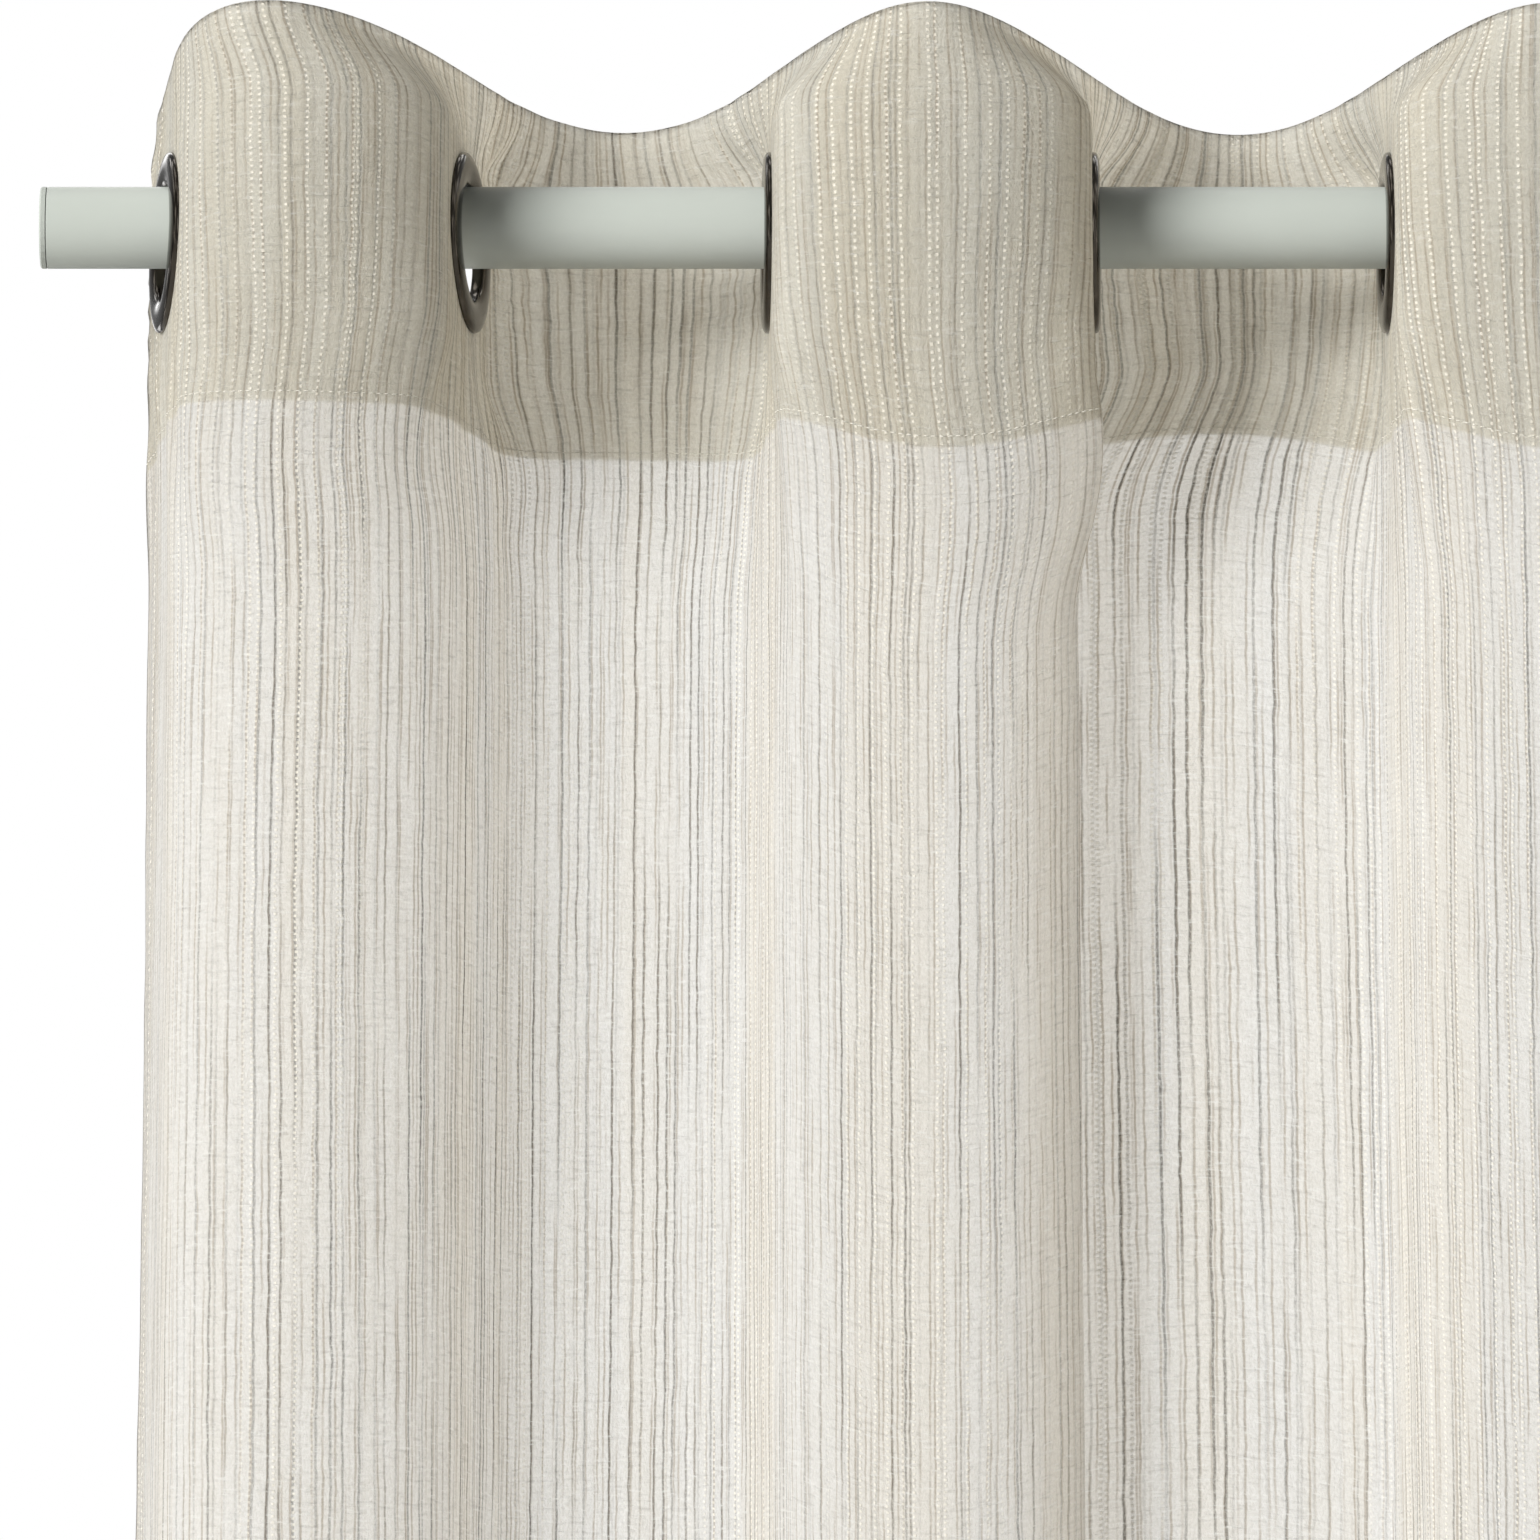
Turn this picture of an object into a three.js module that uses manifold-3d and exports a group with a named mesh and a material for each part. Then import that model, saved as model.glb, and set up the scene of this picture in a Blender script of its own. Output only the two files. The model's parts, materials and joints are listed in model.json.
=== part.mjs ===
// A pair of eyelet curtains on a round rod, carried by three wall brackets.
// Millimetres. +X runs along the rod to the right, +Y points into the wall and +Z is up.
// The origin is the centre of the middle bracket's wall plate, on the wall.
import * as THREE from 'three';
import { mergeVertices } from 'three/addons/utils/BufferGeometryUtils.js';
import Module from 'manifold-3d';

const wasm = await Module();
wasm.setup();

// ---------------------------------------------------------------- driving dimensions

// rod
const ROD_RADIUS = 14;
const ROD_WALL = 1.5;
const ROD_LENGTH = 1600;
const ROD_TO_WALL = 90;
const END_STUB = 43.5; // rod beyond each outermost eyelet
const PLUG_FLANGE = 2;
const PLUG_DEPTH = 15;

// eyelets
const EYELETS = 8; // in each panel
const LEADING_EYELET_X = 18; // the leading eyelets stand this far from the middle
const EYELET_PLAY = 6; // bore radius over the rod's radius
const EYELET_RIM = 11; // width of the ring around the bore
const BARREL_WALL = 1.4;
const FRONT_DOME = 2.6; // how far the front half stands off the cloth
const BACK_DOME = 2;
const HANGING_GAP = 0.5; // between the rod's top and the bore
const STACK_PITCH = 38; // eyelet spacing when a panel is drawn back
const WIDE_YAW = 10; // degrees: the first two eyelets are pulled open
const EVEN_YAW = 1.5; // degrees: the others hang nearly square to the rod
// how far each eyelet stands from even spacing, because panels are drawn by hand
const STAGGER = [0, -3.4, -5.1, -1, -4.7, -2, -1, 0];

// cloth
const CLOTH = 0.8;
const PANEL_HEIGHT = 2130;
const HEADING = 61; // top edge above the eyelets' centres
const FRONT_FOLD = 62; // fold depth in front of the rod's axis
const BACK_FOLD = 54; // fold depth behind the rod's axis
const FLAT_MARGIN = 1.5; // flat cloth beyond an eyelet's rim
const SIDE_MARGIN = 45; // side edge to the first and last eyelets' centres

// brackets
const PLATE_RADIUS = 28;
const PLATE_THICKNESS = 4;
const ARM_RADIUS = 5.5;
const CRADLE_WIDTH = 12;
const CRADLE_WALL = 4;
const CRADLE_RISE = 5; // the cradle's sides above the rod's axis
const SCREW_SPACING = 36;
const WALL_SCREW_RADIUS = 2;
const WALL_SCREW_HEAD = 3.8;
const WALL_SCREW_LENGTH = 40;
const CLAMP_SCREW_RADIUS = 2;
const CLAMP_KNOB_RADIUS = 5;
const CLAMP_KNOB_HEIGHT = 6;

const GAP = 0.3; // between pieces that touch

// facets
const ROD_SIDES = 32;
const EYELET_SIDES = 18;
const PLATE_SIDES = 10;
const SCREW_SIDES = 10;
const FOLD_STEPS = 9;
const FLAT_STEPS = 2;

// ---------------------------------------------------------------- what follows from them

const BORE_RADIUS = ROD_RADIUS + EYELET_PLAY;
const EYELET_RADIUS = BORE_RADIUS + EYELET_RIM;
const BARREL_RADIUS = BORE_RADIUS + BARREL_WALL;
const EYELET_Z = -(EYELET_PLAY - HANGING_GAP);
const CLOTH_HOLE_RADIUS = BARREL_RADIUS + 2 * GAP;
const HALF_FLAT = EYELET_RADIUS + FLAT_MARGIN;
const ON_CLOTH = CLOTH / 2 + GAP; // from the cloth's middle to an eyelet half
const OUTER_EYELET_X = ROD_LENGTH / 2 - END_STUB;
const PITCH = (OUTER_EYELET_X - LEADING_EYELET_X) / (EYELETS - 1);
const BRACKET_X = OUTER_EYELET_X - STACK_PITCH / 2;
const CRADLE_BORE = ROD_RADIUS + GAP;
const CRADLE_RADIUS = CRADLE_BORE + CRADLE_WALL;

// ---------------------------------------------------------------- finishes

const finish = (color, roughness, metalness = 0) =>
  new THREE.MeshStandardMaterial({ color, roughness, metalness });

const rodPaint = finish(0xd3dad2, 0.4);
const linenCloth = finish(0xe6e2d8, 0.95);
const darkNickel = finish(0x4a4844, 0.25, 1);
const bracketPaint = finish(0xcdd4cc, 0.5);
const zincSteel = finish(0xb4b4b0, 0.4, 1);

// ---------------------------------------------------------------- solids

const part = new THREE.Group();

/** The geometry with only its corners left, each corner once. */
function welded(geometry) {
  const bare = geometry.index ? geometry.toNonIndexed() : geometry.clone();
  bare.deleteAttribute('normal');
  bare.deleteAttribute('uv');
  return mergeVertices(bare, 1e-4);
}

/** A manifold solid of a closed geometry. */
function solid(geometry) {
  const clean = welded(geometry);
  const vertProperties = new Float32Array(clean.attributes.position.array);
  const triVerts = new Uint32Array(clean.index.array);
  return new wasm.Manifold(new wasm.Mesh({ numProp: 3, vertProperties, triVerts }));
}

/** A geometry of a manifold solid. */
function geometryOf(body) {
  const mesh = body.getMesh();
  const geometry = new THREE.BufferGeometry();
  geometry.setAttribute('position', new THREE.BufferAttribute(new Float32Array(mesh.vertProperties), 3));
  geometry.setIndex(new THREE.BufferAttribute(new Uint32Array(mesh.triVerts), 1));
  return geometry;
}

/** Turns an outline of [radius, height] corners about the height axis, which is +Y. */
function turned(outline, sides) {
  const corners = outline.map(([radius, height]) => new THREE.Vector2(radius, height));
  return welded(new THREE.LatheGeometry(corners, sides));
}

function add(parent, name, geometry, material) {
  const mesh = new THREE.Mesh(geometry, material);
  mesh.name = name;
  parent.add(mesh);
  return mesh;
}

// ---------------------------------------------------------------- rod

function rodTube() {
  const half = ROD_LENGTH / 2 - PLUG_FLANGE - GAP;
  const inner = ROD_RADIUS - ROD_WALL;
  return turned(
    [
      [inner, -half],
      [ROD_RADIUS, -half],
      [ROD_RADIUS, half],
      [inner, half],
      [inner, -half],
    ],
    ROD_SIDES,
  );
}

/** A flush plug whose flange closes the tube. It is turned with the flange's outer face up. */
function endPlug() {
  const boss = ROD_RADIUS - ROD_WALL - GAP;
  const top = ROD_LENGTH / 2;
  return turned(
    [
      [0, top - PLUG_FLANGE - PLUG_DEPTH],
      [boss, top - PLUG_FLANGE - PLUG_DEPTH],
      [boss, top - PLUG_FLANGE],
      [ROD_RADIUS, top - PLUG_FLANGE],
      [ROD_RADIUS, top - 0.5],
      [ROD_RADIUS - 0.5, top],
      [0, top],
    ],
    ROD_SIDES,
  );
}

const rodLine = new THREE.Group(); // its +Y runs along the rod to the right
rodLine.position.set(0, -ROD_TO_WALL, 0);
rodLine.rotation.z = -Math.PI / 2;
part.add(rodLine);

add(rodLine, 'rod_tube', rodTube(), rodPaint);
add(rodLine, 'right_end_plug', endPlug(), rodPaint);
add(rodLine, 'left_end_plug', endPlug(), rodPaint).rotation.z = Math.PI;

// ---------------------------------------------------------------- brackets

function wallPlate() {
  const outline = new THREE.Shape();
  outline.absarc(0, 0, PLATE_RADIUS, 0, 2 * Math.PI, false);
  for (const side of [-1, 1]) {
    const hole = new THREE.Path();
    hole.absarc(0, (side * SCREW_SPACING) / 2, WALL_SCREW_RADIUS + GAP, 0, 2 * Math.PI, true);
    outline.holes.push(hole);
  }
  const options = { depth: PLATE_THICKNESS, bevelEnabled: false, curveSegments: PLATE_SIDES };
  // the first face of the extrusion lies on the wall and the other one faces the room
  return welded(new THREE.ExtrudeGeometry(outline, options)).rotateX(Math.PI / 2);
}

/** An open U that holds the rod from below, on a round arm that reaches back to the wall plate. */
function cradleArm() {
  const outline = new THREE.Shape();
  outline.moveTo(CRADLE_RADIUS, CRADLE_RISE);
  outline.lineTo(CRADLE_RADIUS, 0);
  outline.absarc(0, 0, CRADLE_RADIUS, 0, Math.PI, true);
  outline.lineTo(-CRADLE_RADIUS, CRADLE_RISE);
  outline.lineTo(-CRADLE_BORE, CRADLE_RISE);
  outline.lineTo(-CRADLE_BORE, 0);
  outline.absarc(0, 0, CRADLE_BORE, Math.PI, 2 * Math.PI, false);
  outline.lineTo(CRADLE_BORE, CRADLE_RISE);
  const options = { depth: CRADLE_WIDTH, bevelEnabled: false, curveSegments: 10 };
  const cradle = new THREE.ExtrudeGeometry(outline, options);
  // the outline's x becomes the direction into the wall, and its y becomes up
  cradle.translate(0, 0, -CRADLE_WIDTH / 2);
  cradle.applyMatrix4(
    new THREE.Matrix4().makeBasis(
      new THREE.Vector3(0, 1, 0),
      new THREE.Vector3(0, 0, 1),
      new THREE.Vector3(1, 0, 0),
    ),
  );

  const reach = ROD_TO_WALL - PLATE_THICKNESS - GAP;
  const armStart = CRADLE_RADIUS - CRADLE_WALL / 2;
  const arm = new THREE.CylinderGeometry(ARM_RADIUS, ARM_RADIUS, reach - armStart, 16);
  arm.translate(0, (reach + armStart) / 2, 0);

  const drill = new THREE.CylinderGeometry(
    CLAMP_SCREW_RADIUS + GAP,
    CLAMP_SCREW_RADIUS + GAP,
    CRADLE_WALL * 3,
    SCREW_SIDES,
  );
  drill.rotateX(Math.PI / 2);
  drill.translate(0, 0, -CRADLE_RADIUS);
  return geometryOf(solid(cradle).add(solid(arm)).subtract(solid(drill)));
}

/** A knurled thumb screw, turned with its tip up. */
function clampScrew() {
  const tip = -ROD_RADIUS - GAP;
  const knobTop = -CRADLE_RADIUS - GAP;
  return turned(
    [
      [0, knobTop - CLAMP_KNOB_HEIGHT],
      [CLAMP_KNOB_RADIUS, knobTop - CLAMP_KNOB_HEIGHT],
      [CLAMP_KNOB_RADIUS, knobTop],
      [CLAMP_SCREW_RADIUS, knobTop],
      [CLAMP_SCREW_RADIUS, tip],
      [0, tip],
    ],
    SCREW_SIDES,
  );
}

/** A pan-head screw, turned with its point up: into the wall. */
function wallScrew() {
  const underHead = -PLATE_THICKNESS - GAP;
  const point = underHead + WALL_SCREW_LENGTH;
  const headHeight = WALL_SCREW_HEAD * 0.65;
  return turned(
    [
      [0, underHead - headHeight],
      [WALL_SCREW_HEAD * 0.6, underHead - headHeight],
      [WALL_SCREW_HEAD, underHead - headHeight * 0.4],
      [WALL_SCREW_HEAD, underHead],
      [WALL_SCREW_RADIUS, underHead],
      [WALL_SCREW_RADIUS, point - WALL_SCREW_RADIUS * 2],
      [0, point],
    ],
    SCREW_SIDES,
  );
}

for (const [side, x] of [['left', -BRACKET_X], ['middle', 0], ['right', BRACKET_X]]) {
  const bracket = new THREE.Group();
  bracket.position.set(x, 0, 0);
  part.add(bracket);
  add(bracket, `${side}_wall_plate`, wallPlate(), bracketPaint);
  add(bracket, `${side}_bracket_arm`, cradleArm(), bracketPaint).position.y = -ROD_TO_WALL;
  const clamp = add(bracket, `${side}_clamp_screw`, clampScrew(), zincSteel);
  clamp.position.y = -ROD_TO_WALL;
  clamp.rotation.x = Math.PI / 2;
  for (const [place, up] of [['upper', 1], ['lower', -1]]) {
    const screw = add(bracket, `${side}_${place}_wall_screw`, wallScrew(), zincSteel);
    screw.position.z = (up * SCREW_SPACING) / 2;
  }
}

// ---------------------------------------------------------------- panels and eyelets

/** The left panel's eyelets from its outer edge inwards. The cloth goes through them alternately
 * towards the room and towards the wall, so `along` is the way it runs and `face` its room side. */
function eyeletPlaces() {
  return STAGGER.slice(0, EYELETS).map((shift, index) => {
    const yaw = THREE.MathUtils.degToRad(index < 2 ? WIDE_YAW : EVEN_YAW);
    const towardsWall = index % 2 === 1 ? 1 : -1;
    const along = new THREE.Vector2(Math.sin(yaw), towardsWall * Math.cos(yaw));
    const at = new THREE.Vector2(-OUTER_EYELET_X + index * PITCH + shift, -ROD_TO_WALL);
    return { at, along, face: new THREE.Vector2(along.y, -along.x) };
  });
}

/** The middle of the left panel's cloth seen from above: flat at each eyelet, round at each fold. */
function foldLine(places) {
  const path = new THREE.CurvePath();
  const last = places.length - 1;
  places.forEach(({ at, along }, index) => {
    const before = index === 0 ? SIDE_MARGIN : HALF_FLAT;
    const after = index === last ? SIDE_MARGIN : HALF_FLAT;
    const start = at.clone().addScaledVector(along, -before);
    const end = at.clone().addScaledVector(along, after);
    path.add(new THREE.LineCurve(start, end));
    if (index < last) {
      const next = places[index + 1];
      const depth = along.y < 0 ? FRONT_FOLD : BACK_FOLD;
      // a cubic's middle stands three quarters of its handles beyond its ends
      const handle = (depth - HALF_FLAT) / 0.75;
      const nextStart = next.at.clone().addScaledVector(next.along, -HALF_FLAT);
      const first = end.clone().addScaledVector(along, handle);
      const second = nextStart.clone().addScaledVector(next.along, -handle);
      path.add(new THREE.CubicBezierCurve(end, first, second, nextStart));
    }
  });
  const line = [];
  for (const curve of path.curves) {
    const steps = curve.isLineCurve ? FLAT_STEPS : FOLD_STEPS;
    const points = curve.getPoints(steps);
    line.push(...(line.length ? points.slice(1) : points));
  }
  return line;
}

/** The fold line given its thickness and extruded over the panel's height, with holes for the eyelets. */
function leftPanel(places) {
  const line = foldLine(places);
  const sideways = line.map((point, index) => {
    const before = line[Math.max(index - 1, 0)];
    const after = line[Math.min(index + 1, line.length - 1)];
    const run = after.clone().sub(before).normalize();
    return new THREE.Vector2(run.y, -run.x);
  });
  const offset = (distance) =>
    line.map((point, index) => point.clone().addScaledVector(sideways[index], distance));
  const outline = new THREE.Shape([...offset(CLOTH / 2), ...offset(-CLOTH / 2).reverse()]);
  const sheet = new THREE.ExtrudeGeometry(outline, { depth: PANEL_HEIGHT, bevelEnabled: false });
  sheet.translate(0, 0, EYELET_Z + HEADING - PANEL_HEIGHT);

  let cloth = solid(sheet);
  for (const { at, face } of places) {
    const punch = new THREE.CylinderGeometry(
      CLOTH_HOLE_RADIUS,
      CLOTH_HOLE_RADIUS,
      CLOTH * 4,
      EYELET_SIDES,
    );
    punch.rotateZ(Math.atan2(face.y, face.x) - Math.PI / 2);
    punch.translate(at.x, at.y, EYELET_Z);
    cloth = cloth.subtract(solid(punch));
  }
  return geometryOf(cloth);
}

/** The domed half on the face of the cloth, with the barrel that goes through it. Its face is up. */
function eyeletFront() {
  const low = ON_CLOTH;
  const high = ON_CLOTH + FRONT_DOME;
  const barrelEnd = -ON_CLOTH - BACK_DOME * 0.8;
  return turned(
    [
      [BORE_RADIUS, barrelEnd],
      [BARREL_RADIUS, barrelEnd],
      [BARREL_RADIUS, low],
      [EYELET_RADIUS, low],
      [EYELET_RADIUS - EYELET_RIM * 0.12, low + FRONT_DOME * 0.7],
      [EYELET_RADIUS - EYELET_RIM * 0.45, high],
      [BORE_RADIUS + BARREL_WALL, high - FRONT_DOME * 0.15],
      [BORE_RADIUS, high - FRONT_DOME * 0.5],
      [BORE_RADIUS, barrelEnd],
    ],
    EYELET_SIDES,
  );
}

/** The ring that snaps onto the barrel behind the cloth. */
function eyeletBack() {
  const inner = BARREL_RADIUS + GAP;
  const near = -ON_CLOTH;
  const far = -ON_CLOTH - BACK_DOME;
  return turned(
    [
      [inner, far],
      [EYELET_RADIUS - EYELET_RIM * 0.2, far],
      [EYELET_RADIUS, near],
      [inner, near],
      [inner, far],
    ],
    EYELET_SIDES,
  );
}

/** The mirror image across the middle of the window, with its faces turned outwards again. */
function mirrored(geometry) {
  const copy = geometry.clone();
  copy.scale(-1, 1, 1);
  const index = copy.index.array;
  for (let corner = 0; corner < index.length; corner += 3) {
    [index[corner], index[corner + 1]] = [index[corner + 1], index[corner]];
  }
  return copy;
}

const places = eyeletPlaces();
const panel = leftPanel(places);
add(part, 'left_panel', panel, linenCloth);
add(part, 'right_panel', mirrored(panel), linenCloth);

for (const [side, sign] of [['left', 1], ['right', -1]]) {
  places.forEach(({ at, face }, index) => {
    const eyelet = new THREE.Group(); // its +Y is the way the eyelet faces
    eyelet.position.set(sign * at.x, at.y, EYELET_Z);
    eyelet.rotation.z = Math.atan2(face.y, sign * face.x) - Math.PI / 2;
    part.add(eyelet);
    add(eyelet, `${side}_eyelet_${index + 1}_front`, eyeletFront(), darkNickel);
    add(eyelet, `${side}_eyelet_${index + 1}_back`, eyeletBack(), darkNickel);
  });
}

export default part;
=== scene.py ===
# %% [markdown]
# # Eyelet curtains on a rod
#
# A pair of semi-sheer, crinkled curtain panels hangs by metal eyelets from a painted tube on three wall brackets.
# The frame that is loaded here already holds every hard part at its true size, and stand-ins for the cloth. This
# script makes the looks: the cloth with its turned header and hems, the eyelets as polished rings, the rod and
# the brackets with their fine edges, and a finish for each. Everything is in metres, +X runs along the rod to
# the right, +Y goes into the wall and +Z is up.

import json
import math

import bpy
import numpy as np
from mathutils import Matrix, Vector


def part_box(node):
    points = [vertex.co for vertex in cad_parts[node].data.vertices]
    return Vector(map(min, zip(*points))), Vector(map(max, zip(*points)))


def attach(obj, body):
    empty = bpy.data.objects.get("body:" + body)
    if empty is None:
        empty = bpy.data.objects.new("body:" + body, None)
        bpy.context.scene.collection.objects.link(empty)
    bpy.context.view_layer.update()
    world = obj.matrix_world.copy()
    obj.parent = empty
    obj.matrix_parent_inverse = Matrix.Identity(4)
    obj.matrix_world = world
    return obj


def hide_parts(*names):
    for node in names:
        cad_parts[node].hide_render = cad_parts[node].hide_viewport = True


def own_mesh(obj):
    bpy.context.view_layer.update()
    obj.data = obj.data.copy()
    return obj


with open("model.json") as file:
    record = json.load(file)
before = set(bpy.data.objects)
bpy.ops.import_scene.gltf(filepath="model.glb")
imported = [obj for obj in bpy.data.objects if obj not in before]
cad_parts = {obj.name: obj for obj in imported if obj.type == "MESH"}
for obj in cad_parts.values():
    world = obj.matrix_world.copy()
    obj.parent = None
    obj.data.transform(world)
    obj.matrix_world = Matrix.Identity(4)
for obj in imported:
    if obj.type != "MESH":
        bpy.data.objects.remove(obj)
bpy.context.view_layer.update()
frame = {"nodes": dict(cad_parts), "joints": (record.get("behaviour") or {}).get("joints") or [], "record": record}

# %% [markdown]
# ## Places that come from the frame
#
# The eyelets stand where the joints say: the outermost eyelet of a panel stays put, and each of the others has
# a share of the leading one's travel. A drawn panel keeps this share of its width, so the travel gives the
# whole width back. The rod's axis, the eyelets' height and the cloth's edges are read from the boxes of their
# nodes, so the script holds no place of its own for them.

# %% Read the places
KEPT_WIDTH = 0.36  # of the drawn width, when a panel is pushed open

MM = 0.001
joints = {joint["name"]: joint for joint in frame["joints"]}
couplings = frame["record"]["behaviour"]["couplings"]


def middle(node):
    low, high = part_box(node)
    return (Vector(low) + Vector(high)) / 2


def eyelet_distances(side):
    """How far each eyelet stands from the outermost one."""
    width = joints[f"{side}_draw"]["range_m"][1] / (1 - KEPT_WIDTH)
    shares = {c["joint"]: c["ratio"] for c in couplings if c["follows"] == f"{side}_draw"}
    between = [shares[f"{side}_eyelet_{number}_slide"] for number in range(2, len(shares) + 2)]
    return [width * share for share in [0, *between, 1]]


OUTER_X = joints["right_draw"]["deforming_nodes"][0]["fixed_end_x_m"]
ROD_Y, ROD_Z = middle("rod_tube").y, middle("rod_tube").z
ROD_RADIUS = (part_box("rod_tube")[1][2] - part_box("rod_tube")[0][2]) / 2
EYELET_Z = middle("left_eyelet_1_front").z
EYELET_RADIUS = (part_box("left_eyelet_1_front")[1][2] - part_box("left_eyelet_1_front")[0][2]) / 2
CLOTH_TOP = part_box("left_panel")[1][2]
CLOTH_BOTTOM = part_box("left_panel")[0][2]
DROP = CLOTH_TOP - CLOTH_BOTTOM
EYELET_DOWN = CLOTH_TOP - EYELET_Z  # from the top edge to the eyelets' centres

# %% [markdown]
# ## Camera
#
# The view is of the outer top corner of the left panel, square on, from well below the rod. A long lens
# keeps the folds from spreading with distance. The camera is placed by where it looks and how far away it is,
# and its lens follows from the width of what it has to show.

# %% Place the camera
VIEW_WIDTH = 0.5195
CAMERA_DISTANCE = 4.8
LOOKING_UP = math.radians(18.3)
INWARDS, BELOW = 0.2056, 0.180  # from the outermost eyelet to the middle of the view
AIM = Vector((-OUTER_X + INWARDS, ROD_Y, EYELET_Z - BELOW / math.cos(LOOKING_UP)))

camera_data = bpy.data.cameras.new("camera")
camera = bpy.data.objects.new("camera", camera_data)
bpy.context.scene.collection.objects.link(camera)
towards_room = Vector((0, -math.cos(LOOKING_UP), -math.sin(LOOKING_UP)))
camera.location = AIM + towards_room * CAMERA_DISTANCE
camera.rotation_euler = (-towards_room).to_track_quat("-Z", "Y").to_euler()
camera_data.lens = camera_data.sensor_width * CAMERA_DISTANCE / VIEW_WIDTH
camera_data.clip_end = 50
bpy.context.scene.camera = camera
print("camera at", [round(value, 3) for value in camera.location], "lens", round(camera_data.lens))

# %% [markdown]
# ## Light
#
# Sheer cloth shows the light behind it, so the studio is bright behind the curtain and dimmer in the room. A
# broad lamp on the left of the room rounds the folds: it lights the sides that face left and leaves the other
# sides, and the rod just past each fold, in soft shade. The plain white that the camera sees behind the curtain
# is kept apart from the light that falls on it, and polished metal reflects bright and dark studio panels.

# %% Light the studio
BEHIND, IN_ROOM = 1.02, 0.06  # how bright the surroundings are
BRIGHT_PANEL, DARK_PANEL = 3.0, 0.22  # how bright they are where metal reflects them
scene = bpy.context.scene
scene.view_settings.view_transform = "Standard"

world = bpy.data.worlds.new("studio")
scene.world = world
world.use_nodes = True
sky = world.node_tree
sky.nodes.clear()


def mapped(source, before, after):
    """A node that turns one range of numbers into another."""
    node = sky.nodes.new("ShaderNodeMapRange")
    sky.links.new(source, node.inputs["Value"])
    for socket, value in zip(("From Min", "From Max", "To Min", "To Max"), (*before, *after)):
        node.inputs[socket].default_value = value
    return node


direction = sky.nodes.new("ShaderNodeTexCoord")
split = sky.nodes.new("ShaderNodeSeparateXYZ")
sky.links.new(direction.outputs["Generated"], split.inputs[0])
brightness = mapped(split.outputs["Y"], (-0.5, 0.5), (IN_ROOM, BEHIND))
brightness.interpolation_type = "SMOOTHSTEP"
falling = sky.nodes.new("ShaderNodeBackground")
falling.inputs["Color"].default_value = (1.0, 1.0, 0.99, 1)
sky.links.new(brightness.outputs["Result"], falling.inputs["Strength"])
panels = sky.nodes.new("ShaderNodeTexNoise")
panels.inputs["Scale"].default_value = 4.2
panels.inputs["Detail"].default_value = 0.0
sky.links.new(direction.outputs["Generated"], panels.inputs["Vector"])
contrast = mapped(panels.outputs[0], (0.57, 0.63), (DARK_PANEL, BRIGHT_PANEL))
mirrored = sky.nodes.new("ShaderNodeBackground")
sky.links.new(contrast.outputs["Result"], mirrored.inputs["Strength"])
seen = sky.nodes.new("ShaderNodeBackground")
seen.inputs["Color"].default_value = (1, 1, 1, 1)
path = sky.nodes.new("ShaderNodeLightPath")
lit = sky.nodes.new("ShaderNodeMixShader")
sky.links.new(path.outputs["Is Glossy Ray"], lit.inputs["Fac"])
sky.links.new(falling.outputs[0], lit.inputs[1])
sky.links.new(mirrored.outputs[0], lit.inputs[2])
choice = sky.nodes.new("ShaderNodeMixShader")
sky.links.new(path.outputs["Is Camera Ray"], choice.inputs["Fac"])
sky.links.new(lit.outputs[0], choice.inputs[1])
sky.links.new(seen.outputs[0], choice.inputs[2])
output = sky.nodes.new("ShaderNodeOutputWorld")
sky.links.new(choice.outputs[0], output.inputs["Surface"])

key_data = bpy.data.lights.new("left_lamp", "SUN")
key_data.energy = 4.8
key_data.angle = math.radians(28)
key_data.color = (1.0, 1.0, 0.995)
key = bpy.data.objects.new("left_lamp", key_data)
bpy.context.scene.collection.objects.link(key)
KEY_FROM = Vector((-0.74, -0.67, 0.22))
key.visible_glossy = False  # polished metal reflects the panels, and not a lamp
key.rotation_euler = KEY_FROM.to_track_quat("Z", "Y").to_euler()
print("lamp from", [round(value, 2) for value in KEY_FROM])

# %% [markdown]
# ## Helpers for modelling
#
# Operators act on what is selected, and the loaded frame is selected, so each piece starts by letting go of
# everything. A finished piece has its place in its mesh, so `settle` applies the object's own place and
# turn. Faces of closed pieces are turned outwards before they are shaded smooth by angle.

# %% Selection, settling and finishing
def let_go():
    """Object mode, with nothing selected."""
    if bpy.context.object and bpy.context.object.mode != "OBJECT":
        bpy.ops.object.mode_set(mode="OBJECT")
    bpy.ops.object.select_all(action="DESELECT")


def take(piece):
    """Selects one piece and makes it the active one."""
    let_go()
    piece.select_set(True)
    bpy.context.view_layer.objects.active = piece


def settle(piece, name):
    """Puts the piece's own place and turn into its mesh, and names both."""
    take(piece)
    bpy.ops.object.transform_apply(location=True, rotation=True, scale=True)
    piece.name = name
    piece.data.name = name
    return piece


def faces_out(piece):
    """Turns the faces of a closed piece outwards."""
    take(piece)
    bpy.ops.object.mode_set(mode="EDIT")
    bpy.ops.mesh.select_all(action="SELECT")
    bpy.ops.mesh.remove_doubles(threshold=1e-6)
    bpy.ops.mesh.normals_make_consistent(inside=False)
    bpy.ops.object.mode_set(mode="OBJECT")


def smooth(piece, degrees=35):
    take(piece)
    bpy.ops.object.shade_smooth_by_angle(angle=math.radians(degrees))


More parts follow.
